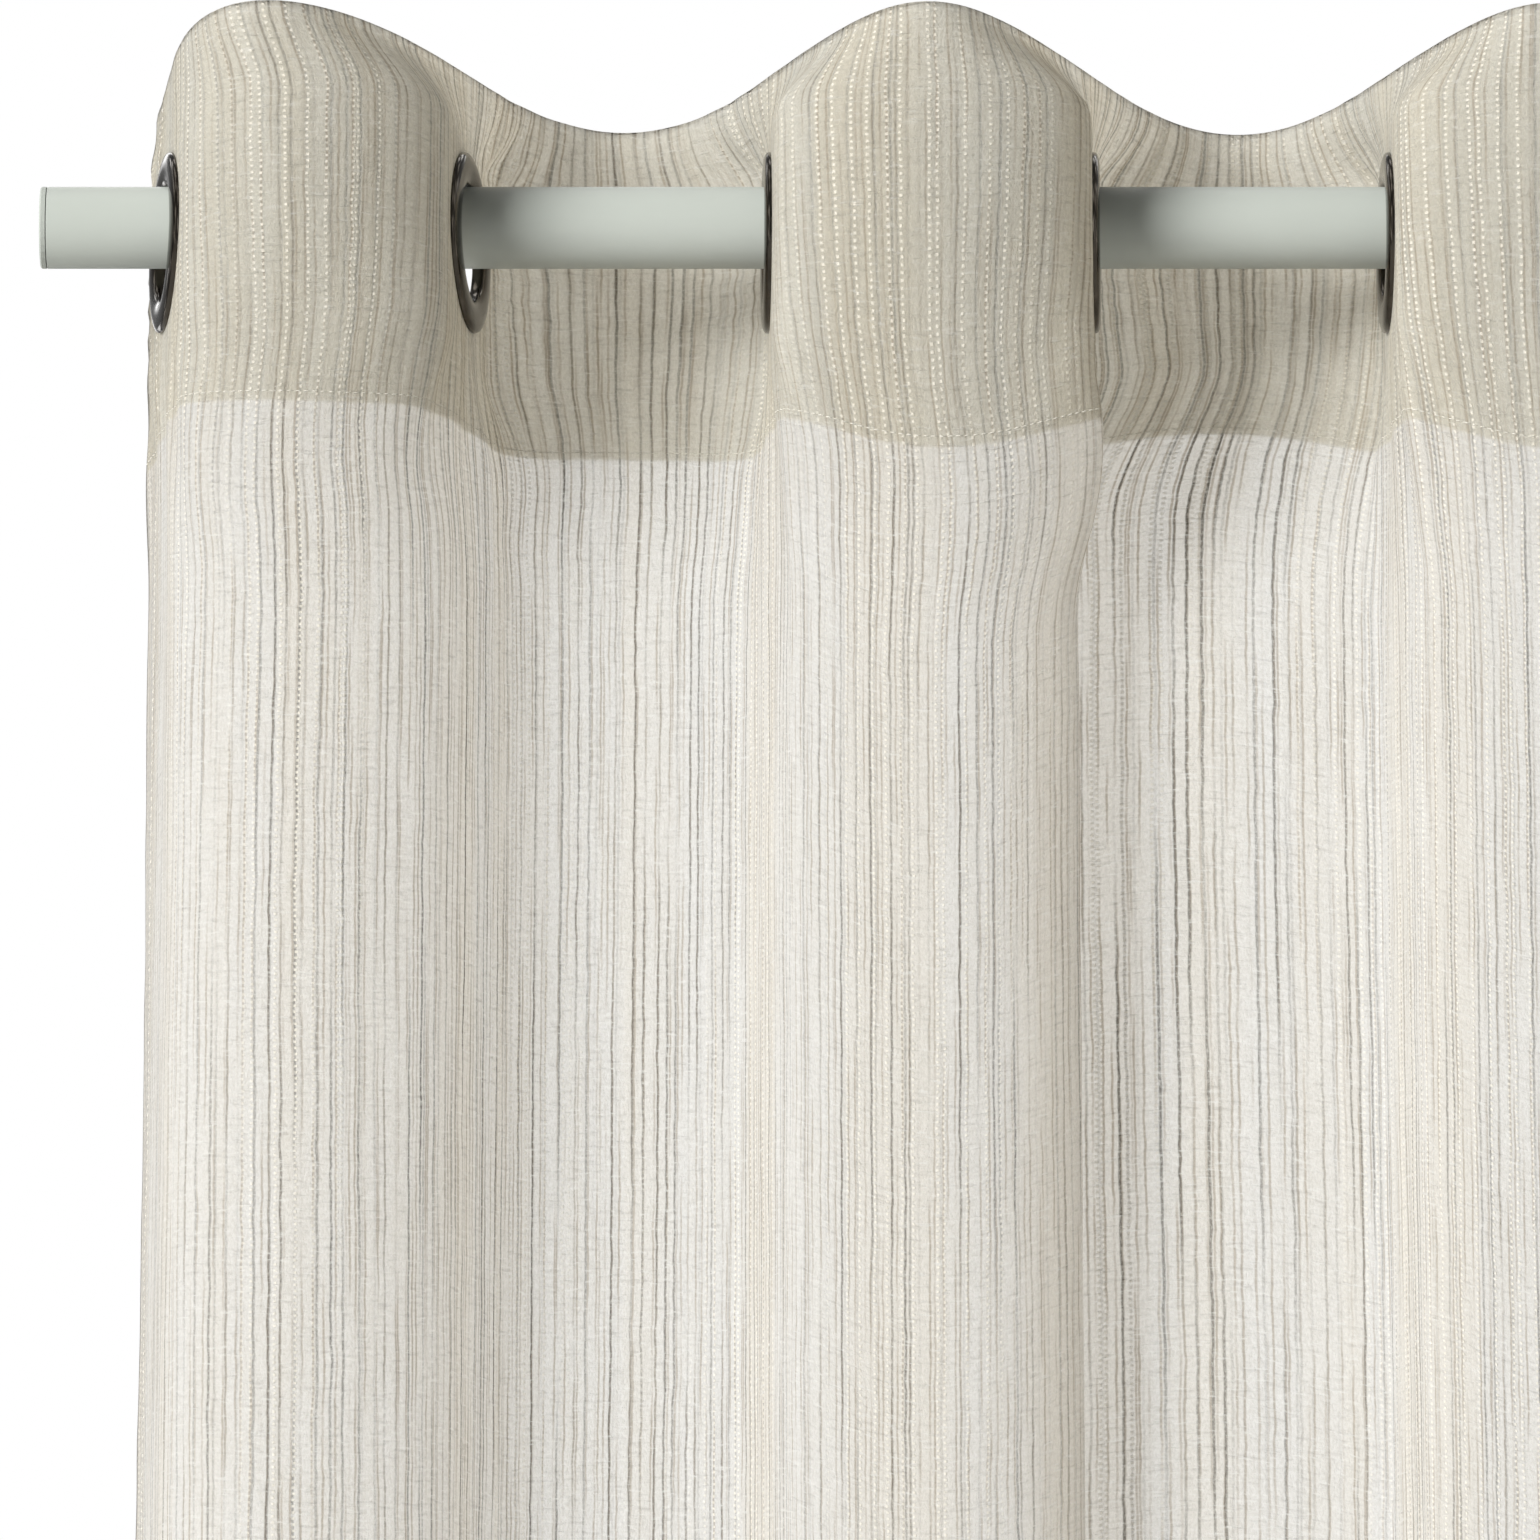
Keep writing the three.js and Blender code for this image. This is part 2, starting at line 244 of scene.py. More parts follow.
def shaped_by(piece, kind, **settings):
    """Adds a modifier, sets it and applies it."""
    take(piece)
    modifier = piece.modifiers.new(kind.lower(), kind)
    for setting, value in settings.items():
        setattr(modifier, setting, value)
    bpy.ops.object.modifier_apply(modifier=modifier.name)
    return piece


def copied(piece, name, place):
    """A copy with its own mesh, moved to a place given as a matrix."""
    copy = bpy.data.objects.new(name, piece.data.copy())
    bpy.context.scene.collection.objects.link(copy)
    copy.data.transform(place)
    if place.determinant() < 0:
        copy.data.flip_normals()
    copy.data.name = name
    return copy


# %% [markdown]
# ## Helpers for finishes
#
# A finish is a small network of nodes. `Finish.node` adds any node with its settings and the values or links of
# its sockets. `Number` wraps a socket that carries a number, so that sums read like sums: an expression such as
# `1 - mask * 0.4` adds the Math nodes that work it out.

# %% Numbers and finishes
class Number:
    """A number that varies over a surface. Its operators add Math nodes."""

    def __init__(self, finish, socket):
        self.finish, self.socket = finish, socket

    def maths(self, operation, *values):
        sockets = dict(enumerate(values))
        node = self.finish.node("ShaderNodeMath", {"operation": operation}, sockets)
        return Number(self.finish, node.outputs[0])

    def __add__(self, other):
        return self.maths("ADD", self, other)

    def __sub__(self, other):
        return self.maths("SUBTRACT", self, other)

    def __rsub__(self, other):
        return self.maths("SUBTRACT", other, self)

    def __mul__(self, other):
        return self.maths("MULTIPLY", self, other)

    __radd__, __rmul__ = __add__, __mul__

    def sine(self):
        return self.maths("SINE", self)

    def rise(self, low, high):
        """0 below low and 1 above high, with a soft step between. It falls instead where low is over high."""
        sockets = {"Value": self, "From Min": low, "From Max": high}
        if low > high:
            sockets = {"Value": self, "From Min": high, "From Max": low, "To Min": 1.0, "To Max": 0.0}
        node = self.finish.node("ShaderNodeMapRange", {"interpolation_type": "SMOOTHSTEP"}, sockets)
        return Number(self.finish, node.outputs[0])


class Finish:
    """A material under construction."""

    def __init__(self, name):
        self.material = bpy.data.materials.new(name)
        self.material.use_nodes = True
        self.tree = self.material.node_tree
        self.tree.nodes.clear()

    def node(self, kind, settings=None, sockets=None):
        node = self.tree.nodes.new(kind)
        for setting, value in (settings or {}).items():
            setattr(node, setting, value)
        for socket, value in (sockets or {}).items():
            target = node.inputs[socket]
            source = value.socket if isinstance(value, Number) else value
            if isinstance(source, bpy.types.NodeSocket):
                self.tree.links.new(source, target)
            else:
                target.default_value = source
        return node

    def vector(self, *parts):
        sockets = dict(zip("XYZ", parts))
        return self.node("ShaderNodeCombineXYZ", None, sockets).outputs[0]

    def noise(self, place, scale, detail=2.0, roughness=0.5, kind="3D"):
        sockets = {"Scale": scale, "Detail": detail, "Roughness": roughness}
        sockets["W" if kind == "1D" else "Vector"] = place
        return Number(self, self.node("ShaderNodeTexNoise", {"noise_dimensions": kind}, sockets).outputs[0])

    def mixed(self, share, first, second):
        """One colour turned into another as share goes from 0 to 1."""
        factor, first_colour, second_colour, result = 0, 6, 7, 2  # where a colour mix has its sockets
        sockets = {factor: share, first_colour: first, second_colour: second}
        return self.node("ShaderNodeMix", {"data_type": "RGBA"}, sockets).outputs[result]

    def bump(self, height, distance, strength=1.0):
        sockets = {"Height": height, "Distance": distance, "Strength": strength}
        return self.node("ShaderNodeBump", None, sockets).outputs[0]

    def shown(self, shader):
        """The finished material, whose surface is this shader."""
        self.node("ShaderNodeOutputMaterial", None, {"Surface": shader})
        return self.material


def rgb(red, green, blue):
    return (red, green, blue, 1.0)


# %% [markdown]
# ## Cloth finish
#
# The cloth is a linen-look weave with a crinkle. Three things make it what it is:
# - Thick slub threads run down it at uneven distances and wander a little. They hold light back, so they are
#   faint where a lamp lights the front and dark where the light comes through.
# - Some threads are raised in dashes of a cream colour, in groups across the width.
# - The ground between them changes slowly from cool white to cream, with a fine grain and faint cross creases
#   painted darker as shade.
#
# The threads follow the cloth and not space, so the pattern reads the cloth's own map, whose unit is the metre
# of flat cloth. Part of the light passes through: a Translucent shader is mixed with the surface's own. Threads
# could be modelled one by one, but that takes millions of faces, and colour with a bump shows them well enough.
# Some light is painted into the colour: the header is painted darker and yellower as shade, where less light passes
# through its two layers.

# %% Cloth
HEADER_DEPTH = 0.130
DASH = 0.0021  # from one cream dash to the next


def slub_lines(finish, across, per_metre, width, seed):
    """Threads at uneven distances: 1 on a thread and 0 beside it, and a number for each thread."""
    settings = {"voronoi_dimensions": "1D", "feature": "F1"}
    sockets = {"W": across * per_metre + seed, "Scale": 1.0, "Randomness": 1.0}
    cells = finish.node("ShaderNodeTexVoronoi", settings, sockets)
    distance = Number(finish, cells.outputs["Distance"])
    split = finish.node("ShaderNodeSeparateXYZ", None, {0: cells.outputs["Color"]})
    own = Number(finish, split.outputs[0])
    half = width * per_metre / 2
    return distance.rise(half * 1.7, half * 0.35), own


def cloth_finish():
    finish = Finish("linen_cloth")
    flat = finish.node("ShaderNodeUVMap", {"uv_map": "cloth"}).outputs[0]
    split = finish.node("ShaderNodeSeparateXYZ", None, {0: flat})
    across, down = Number(finish, split.outputs[0]), Number(finish, split.outputs[1])

    slow = finish.noise(finish.vector(across * 7, down * 2.6, 0.0), 1.0, 1.0) - 0.5
    quick = finish.noise(finish.vector(across * 60, down * 42, 4.0), 1.0, 2.0) - 0.5
    shiver = finish.noise(finish.vector(across * 110, down * 120, 5.0), 1.0, 1.0) - 0.5
    wandering = across + slow * 0.007 + quick * 0.0015 + shiver * 0.0010

    # thick threads, which fade in and out along their length
    strong, strong_own = slub_lines(finish, wandering, per_metre=215, width=0.00088, seed=3.7)
    fades = finish.noise(finish.vector(strong_own * 90, down * 6.0, 1.0), 1.0, 1.0).rise(0.26, 0.60)
    strong = strong * fades * strong_own.rise(-0.2, 0.8)
    # thin ones, often broken, and frayed edges for both
    weak, weak_own = slub_lines(finish, wandering, per_metre=330, width=0.00075, seed=8.1)
    breaks = finish.noise(finish.vector(weak_own * 70, down * 16.0, 2.0), 1.0, 1.0).rise(0.36, 0.62)
    weak = weak * breaks
    frayed = finish.noise(finish.vector(across * 1400, down * 650, 12.0), 1.0, 2.0, 0.7).rise(0.30, 0.58)
    # cream threads in dashes, each out of step with its neighbours
    dashed, dashed_own = slub_lines(finish, wandering, per_metre=150, width=0.0011, seed=15.3)
    dash = (down * (2 * math.pi / DASH) + dashed_own * 40).sine()
    groups = finish.noise(finish.vector(across * 11, down * 0.7, 6.0), 1.0, 1.0).rise(0.38, 0.54)
    cream = dashed * dash.rise(-0.3, 0.5) * groups

    # the ground: fibres, mottling, faint cross creases, slow bands of cream, and painted shade on the double cloth
    # of the header
    fibres = finish.noise(finish.vector(across * 1050, down * 620, 0.0), 1.0, 3.0, 0.7)
    grain = fibres.rise(0.38, 0.62)
    mottle = finish.noise(finish.vector(across * 330, down * 150, 7.0), 1.0, 2.0, 0.6).rise(0.35, 0.70)
    creases = finish.noise(finish.vector(across * 110, down * 620, 3.0), 1.0, 2.0, 0.6).rise(0.50, 0.80)
    bands = finish.noise(finish.vector(across * 26, down * 0.5, 8.0), 1.0, 2.0, 0.6)
    clouds = finish.noise(finish.vector(across * 90, down * 16, 9.0), 1.0, 2.0)
    header = down.rise(HEADER_DEPTH + 0.0006, HEADER_DEPTH - 0.0006)

    ground = finish.mixed(bands.rise(0.44, 0.62), rgb(0.878, 0.886, 0.890), rgb(0.885, 0.862, 0.815))
    ground = finish.mixed(clouds.rise(0.35, 0.75) * 0.35, ground, rgb(0.82, 0.80, 0.75))
    # painted shade: the header is made darker and yellower, as where less light passes through its two layers
    ground = finish.mixed(header * 0.34, ground, rgb(0.75, 0.745, 0.62))
    ground = finish.mixed(grain * 0.17 + mottle * 0.10, ground, rgb(0.53, 0.50, 0.41))
    # the front, from the ground outwards
    quiet = 1 - header * 0.4
    lines = (strong + weak * 0.2) * (0.45 + frayed * 0.55) * quiet
    front = finish.mixed(weak * 0.3, ground, rgb(0.52, 0.42, 0.31))
    # the dark threads, and faint painted shade in the cross creases
    front = finish.mixed(lines * 0.38 + creases * 0.06, front, rgb(0.22, 0.175, 0.12))
    # painted highlights: bright ticks where the crinkle catches the light
    crinkle_highlights = finish.noise(finish.vector(across * 150, down * 760, 13.0), 1.0, 2.0, 0.6).rise(0.54, 0.72)
    front = finish.mixed(crinkle_highlights * 0.7, front, rgb(0.97, 0.97, 0.95))
    front = finish.mixed(cream * 0.8, front, rgb(0.93, 0.88, 0.76))
    # what the light takes on as it passes through
    held_back = lines * 1.0 + grain * 0.08 + creases * 0.16
    warm = finish.mixed(0.5, ground, rgb(0.97, 0.915, 0.835))
    warm = finish.mixed(weak * 0.55, warm, rgb(0.42, 0.32, 0.21))
    through = finish.mixed(held_back, warm, rgb(0.07, 0.06, 0.04))
    # the painted crinkle highlights, also brighter in the light passing through
    through = finish.mixed(crinkle_highlights * 0.35, through, rgb(0.98, 0.97, 0.93))

    relief = lines * -0.8 + cream * 0.7 + fibres * 1.5 + mottle * 0.5 + clouds * 1.2 + creases * 0.9
    normal = finish.bump(relief, 0.0006, 0.6)
    surface = finish.node(
        "ShaderNodeBsdfPrincipled",
        None,
        {"Base Color": front, "Roughness": 0.9, "Specular IOR Level": 0.25, "Normal": normal},
    )
    passing = finish.node("ShaderNodeBsdfTranslucent", None, {"Color": through, "Normal": normal})
    sockets = {0: 0.76 - held_back * 0.2 - cream * 0.35, 1: surface.outputs[0], 2: passing.outputs[0]}
    return finish.shown(finish.node("ShaderNodeMixShader", None, sockets).outputs[0])


LINEN = cloth_finish()
print("finish:", LINEN.name, "with", len(LINEN.node_tree.nodes), "nodes")

# %% [markdown]
# ## How the cloth hangs
#
# Seen from above, a panel is a wave. At each eyelet it crosses the rod almost square, flat behind the ring, and
# between two eyelets it swings out to a fold: towards the room, then towards the wall, in turn. Every height has
# its own wave. At the top edge the folds are deepest. Below the header the cloth has let go of the rings, so the
# wave is softer, some folds lean, and one of them overhangs its neighbour, which gives a sharp edge all the way
# down. The sheet is one length of cloth all the way across, so each fold keeps its share of it. A cloth
# simulation could find folds by itself, but not these folds at these places, so the wave is given by numbers.

# %% The numbers of the wave
FLAT_HALF = EYELET_RADIUS + 1.5 * MM  # flat cloth on either side of an eyelet's centre
SIDE_MARGIN = 0.045
SIDE_HEM, BOTTOM_HEM = 0.025, 0.100
LAYER = 0.38 * MM  # half the distance between the cloth and a layer turned over behind it
HOLE_RADIUS = 24.5 * MM
# one number for each eyelet, from the outermost one: how open the wave is, in degrees, at the top edge, at the
# eyelets and below the header, and how far it drifts there
YAW_TOP = [8, 29, 27, 29, 27, 28, 27, 20]
YAW_RING = [10, 10, 1.5, 1.5, 1.5, 1.5, 1.5, 1.5]
YAW_LOW = [10, 35, 30, -56, 24, -22, 28, 17]
DRIFT_LOW = [0.001, 0.004, 0.0, -0.017, 0.002, -0.006, 0.0, 0.0]
OPENED = [0.19, 0.158, 0.19, 0.19, 0.19, 0.19, 0.19, 0.19]  # how far down the wave has opened by that much
# one number for each fold: how deep it is at the top edge, at the eyelets and below the header
DEPTH_TOP = [0.071, 0.055, 0.070, 0.057, 0.069, 0.055, 0.070]
DEPTH_RING = [0.064, 0.054, 0.062, 0.054, 0.062, 0.054, 0.062]
DEPTH_LOW = [0.034, 0.019, 0.017, 0.010, 0.018, 0.024, 0.030]
GATHER = 0.22  # below the eyelets, how much more of the cloth lies in line with them than between them
SAG = [0.005, -0.002, 0.018, -0.012, 0.019, 0.002, 0.007]  # how much lower the fold hangs than the rings


def ease(value, low, high):
    """A soft step from 0 at low to 1 at high, or the other way where low is over high."""
    share = np.clip((value - low) / (high - low), 0, 1)
    return share * share * (3 - 2 * share)


def waver(x, y, seed):
    """Smooth noise from -1 to 1, with a period of about one unit."""
    rng = np.random.default_rng(seed)
    table = rng.uniform(-1, 1, (64, 64))
    column, row = np.floor(x).astype(int), np.floor(y).astype(int)
    fx, fy = ease(x - column, 0, 1), ease(y - row, 0, 1)
    c0, c1, r0, r1 = column % 64, (column + 1) % 64, row % 64, (row + 1) % 64
    upper = table[r0, c0] * (1 - fx) + table[r0, c1] * fx
    lower = table[r1, c0] * (1 - fx) + table[r1, c1] * fx
    return upper * (1 - fy) + lower * fy


def bezier(points, count=48):
    """Points along a curve with two end points and two handles."""
    t = np.linspace(0, 1, count)[:, None]
    a, b, c, d = (np.array(point) for point in points)
    return a * (1 - t) ** 3 + 3 * b * t * (1 - t) ** 2 + 3 * c * t * t * (1 - t) + d * t**3


class Wave:
    """The wave of one panel at every height, in the left panel's sense, with x from the outermost eyelet."""

    def __init__(self, side):
        self.places = eyelet_distances(side)
        self.seed = 11 if side == "left" else 57
        self.known = {}
        rings = self.spans(EYELET_DOWN)
        self.lengths = [length(span) for span in rings]
        self.width = sum(self.lengths)
        self.eyelet_u = np.cumsum(self.lengths)[:-1]

    def spans(self, down):
        """The wave at this distance below the top edge: one run of points for each stretch of cloth."""
        if float(down) not in self.known:
            self.known[float(down)] = self.runs(down)
        return self.known[float(down)]

    def runs(self, down):
        """Works out the wave at one height: how far it is let go, then each eyelet's heading, then the folds."""
        low = float(ease(down, EYELET_DOWN + 0.034, 0.19))
        fold = float(ease(down, 0.035, 0.205))
        above = float(ease(down, EYELET_DOWN - 0.033, 0.0)) if down < EYELET_DOWN else 0.0
        half = FLAT_HALF * (1 - 0.6 * low) * (1 - 0.55 * above)
        far = float(ease(down, 0.55, 1.6))
        slow = [float(waver(np.array([k * 1.7]), np.array([down * 1.6]), self.seed)[0]) for k in range(16)]
        centres, along = [], []
        for k, x in enumerate(self.places):
            opened = float(ease(down, EYELET_DOWN + 0.034, OPENED[k]))
            yaw = YAW_RING[k] * (1 - opened) + (YAW_LOW[k] * (1 - 0.45 * far) + 5 * slow[k] * far) * opened
            yaw = math.radians(yaw + (YAW_TOP[k] - yaw) * above)
            heading = 1 if k % 2 else -1
            drift = DRIFT_LOW[k] * low + 0.006 * slow[k] * far
            centres.append(np.array([x + drift, 0.004 * slow[k + 3] * far]))
            along.append(np.array([math.sin(yaw), heading * math.cos(yaw)]))
        runs = [straight(centres[0] - along[0] * SIDE_MARGIN, centres[0])]
        for k in range(len(centres) - 1):
            depth = DEPTH_RING[k] + (DEPTH_TOP[k] - DEPTH_RING[k]) * above
            depth += (DEPTH_LOW[k] + 0.022 * far + 0.006 * slow[k + 8] * far - depth) * fold
            upright = (abs(along[k][1]) + abs(along[k + 1][1])) / 2
            handle = max(depth - half * upright, 0.008) / (0.75 * upright)
            start = centres[k] + along[k] * half
            end = centres[k + 1] - along[k + 1] * half
            curve = bezier([start, start + along[k] * handle, end - along[k + 1] * handle, end])
            runs.append(np.vstack([centres[k], curve, centres[k + 1]]))
        runs.append(straight(centres[-1], centres[-1] + along[-1] * SIDE_MARGIN))
        return runs

    def row(self, across, down):
        """Points of the wave at one height, for distances along the flat cloth from the outer side edge."""
        held = float(ease(down, 0.0, EYELET_DOWN - 0.034)) * (1 - float(ease(down, EYELET_DOWN + 0.036, 0.17)))
        edges = np.concatenate([[0], np.cumsum(self.lengths)])
        points = np.zeros((len(across), 2))
        for index, run in enumerate(self.spans(down)):
            inside = (across >= edges[index] - 1e-9) & (across <= edges[index + 1] + 1e-9)
            steps = np.linalg.norm(np.diff(run, axis=0), axis=1)
            reached = np.concatenate([[0], np.cumsum(steps)])
            flat, total = self.lengths[index], reached[-1]
            share = (across[inside] - edges[index]) / flat
            gathered = GATHER if down > EYELET_DOWN and flat > 2 * FLAT_HALF else 0
            even = (share - gathered * np.sin(2 * math.pi * share) / (2 * math.pi)) * total
            flat_at = [0, FLAT_HALF, flat - FLAT_HALF, flat]
            real_at = [0, FLAT_HALF, total - FLAT_HALF, total]
            if flat <= 2 * FLAT_HALF:
                pinned = even
            else:
                pinned = np.interp(share * flat, flat_at, real_at)
            at = held * pinned + (1 - held) * even
            points[inside, 0] = np.interp(at, reached, run[:, 0])
            points[inside, 1] = np.interp(at, reached, run[:, 1])
        return points

    def room_side(self, across, down):
        """Which way the cloth's face looks there, seen from above."""
        ahead = self.row(np.clip(across + 0.001, 0, self.width), down)
        back = self.row(np.clip(across - 0.001, 0, self.width), down)
        run = (ahead - back) / np.linalg.norm(ahead - back, axis=1, keepdims=True)
        return np.column_stack([run[:, 1], -run[:, 0]])

    def sag(self, across, down):
        """How much lower the cloth hangs there than at the eyelets."""
        edges = np.concatenate([[0], np.cumsum(self.lengths)])
        lower = np.zeros_like(across)
        for k, most in enumerate(SAG):
            share = np.clip((across - edges[k + 1]) / self.lengths[k + 1], 0, 1)
            lower += most * np.sin(math.pi * share) ** 2 * float(ease(down, 0.03, 0.14))
        return lower


def straight(start, end):
    return np.array([start + (end - start) * share for share in np.linspace(0, 1, 9)])


def length(run):
    return float(np.linalg.norm(np.diff(run, axis=0), axis=1).sum())


waves = {side: Wave(side) for side in ("left", "right")}
for side, wave in waves.items():
    low = sum(length(run) for run in wave.spans(1.0))
    print(f"{side} panel: flat width {wave.width:.3f} m, wave at mid height {low:.3f} m")

# %% [markdown]
# ## The panels
#
# A panel is one flat sheet: its header is turned over to the back, then its side edges, then its bottom edge, and
# the turned layers lie close behind the cloth. Here it starts as a grid, and each point of the grid is moved to
# where that point of the cloth hangs, so its rows and columns run as the threads do, which a remeshed sheet would
# lose. The rows are close together in the header, where the shape changes fast.
# The grid's own map keeps each point's place on the flat cloth, which the finish reads. Creases run out from the
# eyelets where the cloth is pulled, and the crinkle of the cloth is raised a little all over. Last, the holes are
# cut, and their edges are drawn onto a circle that the eyelet covers.

# %% Make the panels
COLUMN = 3.9 * MM
# crinkle: how high it is, and how wide and how tall one wave of it is; the last one starts below the header
CRINKLE = [(0.28 * MM, 0.011, 0.060), (0.16 * MM, 0.0075, 0.019), (0.9 * MM, 0.036, 0.33)]


def across_places(width):
    """The grid's columns on the flat cloth, with the turned side edges past 0 and past the width."""
    inner = np.linspace(0, width, int(width / COLUMN))
    hem = np.linspace(0, SIDE_HEM, 7)[1:]
    return np.concatenate([-hem[::-1], inner, width + hem])


def down_places():
    """The grid's rows, from the turned header above 0 to the turned bottom hem below the drop."""
    header = np.arange(0, 0.20, 3.5 * MM)
    body = header[-1] + np.cumsum(np.linspace(3.9, 17.7, 180) * MM)
    body = body[body < DROP - 0.004]
    turned = np.linspace(0, HEADER_DEPTH, 26)[1:]
    hem = np.linspace(0, BOTTOM_HEM, 9)[1:]
    return np.concatenate([-turned[::-1], header, body, [DROP], DROP + hem])


def creases(wave, across, down):
    """How far the cloth stands off its wave: the crinkle all over, then the creases that each eyelet pulls."""
    raised, fine, broad = (
        height * waver(across / wide, down / tall, wave.seed + 1 + index)
        for index, (height, wide, tall) in enumerate(CRINKLE)
    )
    raised = raised + fine
    raised = raised + broad * ease(down, 0.12, 0.3)
    from_ring = np.full_like(across, 9.0)
    for k, place in enumerate(wave.eyelet_u):
        dx, dy = across - place, EYELET_DOWN - down
        reach = np.hypot(dx, dy)
        from_ring = np.minimum(from_ring, reach)
        towards_back = dx if k % 2 else -dx
        angle = np.arctan2(dy, towards_back)
        pull = 0.95 * MM if k in (1, 2) else 0.6 * MM
        fan = np.sin(angle * 26 + k) * ease(angle, -0.9, 0.1) * (1 - ease(angle, 1.0, 1.5))
        raised = raised + pull * fan * ease(reach, 0.033, 0.05) * (1 - ease(reach, 0.06, 0.13))
        droop = np.sin(angle * 17 + k) * (1 - ease(angle, -1.3, -0.4)) * ease(angle, -2.8, -2.0)
        raised = raised + 0.7 * MM * droop * ease(reach, 0.034, 0.06) * (1 - ease(reach, 0.08, 0.2))
    raised = raised * (0.25 + 0.75 * ease(down, 0.0, 0.02))
    return raised * ease(from_ring, 0.0315, 0.042)


def layer_of(across, down, width):
    """How far the sheet is from the middle of its layers, towards its room side."""
    between = 0.13 * MM  # where a turned side edge lies inside a header or a bottom hem
    turned = (down < 0) | (down > DROP)
    side = (across < 0) | (across > width)
    doubled = (np.abs(down) < HEADER_DEPTH) | (down > DROP - BOTTOM_HEM)
    offset = np.where(turned, -LAYER, LAYER)
    offset = np.where(side & doubled, np.where(turned, -between, between), offset)
    return np.where(side & ~doubled, -LAYER, offset)


def folded(flat, size):
    """Where a place on the flat cloth lies once the edges at 0 and at size are turned over."""
    return np.where(flat < 0, -flat, np.where(flat > size, 2 * size - flat, flat))


def panel(side):
    """One curtain: a grid moved to where its cloth hangs, with holes for the eyelets."""
    wave = waves[side]
    across, down = across_places(wave.width), down_places()
    let_go()
    bpy.ops.mesh.primitive_grid_add(x_subdivisions=len(across) - 1, y_subdivisions=len(down) - 1, size=2)
    piece = bpy.context.object
    grid = np.zeros(len(piece.data.vertices) * 3)
    piece.data.vertices.foreach_get("co", grid)
    grid = grid.reshape(-1, 3)
    column = np.rint((grid[:, 0] + 1) / 2 * (len(across) - 1)).astype(int)
    row = np.rint((1 - grid[:, 1]) / 2 * (len(down) - 1)).astype(int)

    folded_across, folded_down = folded(across, wave.width), folded(down, DROP)
    sheet = np.zeros((len(down), len(across), 3))
    for index, level in enumerate(folded_down):
        sheet[index, :, :2] = wave.row(folded_across, level)
        sheet[index, :, 2] = CLOTH_TOP - level - wave.sag(folded_across, level)
    room_side = np.stack([wave.room_side(folded_across, level) for level in folded_down])
    flat_across, flat_down = np.meshgrid(across, down)
    on_across, on_down = np.meshgrid(folded_across, folded_down)
    off = layer_of(flat_across, flat_down, wave.width) + creases(wave, on_across, on_down)
    sheet[..., :2] += room_side * off[..., None]

    points = sheet[row, column]
    map_u, map_v = flat_across[row, column], flat_down[row, column]
    near, holes = hole_faces(piece, wave, map_u, map_v)
    for vertex, k in near.items():
        # this point is on a hole's edge, so it moves along the flat cloth to the hole's circle
        dx = folded(map_u[vertex], wave.width) - wave.eyelet_u[k]
        dy = EYELET_DOWN - abs(map_v[vertex])
        share = HOLE_RADIUS / math.hypot(dx, dy)
        yaw = math.radians(YAW_RING[k])
        heading = 1 if k % 2 else -1
        direction = np.array([math.sin(yaw), heading * math.cos(yaw)])
        offset = -LAYER if map_v[vertex] < 0 else LAYER
        spot = np.array([wave.places[k], 0.0]) + direction * dx * share
        spot = spot + np.array([direction[1], -direction[0]]) * offset
        points[vertex] = (*spot, EYELET_Z + dy * share)
        map_u[vertex] = wave.eyelet_u[k] + dx * share
        map_v[vertex] = math.copysign(EYELET_DOWN - dy * share, map_v[vertex])

    mirror = 1 if side == "left" else -1
    points[:, 0] = mirror * (points[:, 0] - OUTER_X)
    points[:, 1] += ROD_Y
    piece.data.vertices.foreach_set("co", points.ravel())
    cloth_map = piece.data.uv_layers.new(name="cloth")
    corner = np.zeros(len(piece.data.loops), int)
    piece.data.loops.foreach_get("vertex_index", corner)
    cloth_map.data.foreach_set("uv", np.column_stack([map_u[corner], map_v[corner]]).ravel())
    for old in [layer for layer in piece.data.uv_layers if layer.name != "cloth"]:
        piece.data.uv_layers.remove(old)
    take(piece)
    bpy.ops.object.mode_set(mode="EDIT")
    bpy.ops.mesh.select_mode(type="FACE")
    bpy.ops.mesh.select_all(action="DESELECT")
    bpy.ops.object.mode_set(mode="OBJECT")
    for face in holes:
        piece.data.polygons[face].select = True
    bpy.ops.object.mode_set(mode="EDIT")
    bpy.ops.mesh.delete(type="FACE")
    if side == "right":
        bpy.ops.mesh.select_all(action="SELECT")
        bpy.ops.mesh.flip_normals()
    bpy.ops.object.mode_set(mode="OBJECT")
    bpy.ops.object.shade_smooth()
    piece.name = f"{side}_curtain"
    piece.data.name = piece.name
    return piece


def hole_faces(piece, wave, map_u, map_v):
    """The faces inside the eyelets' holes, and the points of their edges with the eyelet's number."""
    inside = np.full(len(map_u), -1)
    for k, place in enumerate(wave.eyelet_u):
        # the turned header counts, but not the turned bottom edge
        reach = np.hypot(folded(map_u, wave.width) - place, np.abs(map_v) - EYELET_DOWN)
        inside[(reach < HOLE_RADIUS)] = k
    holes, near, kept = [], {}, set()
    for face in piece.data.polygons:
        eyelets = [inside[v] for v in face.vertices]
        if max(eyelets) >= 0:
            holes.append(face.index)
            for v in face.vertices:
                near[v] = max(eyelets)
        else:
            kept.update(face.vertices)
    return {v: k for v, k in near.items() if v in kept}, holes


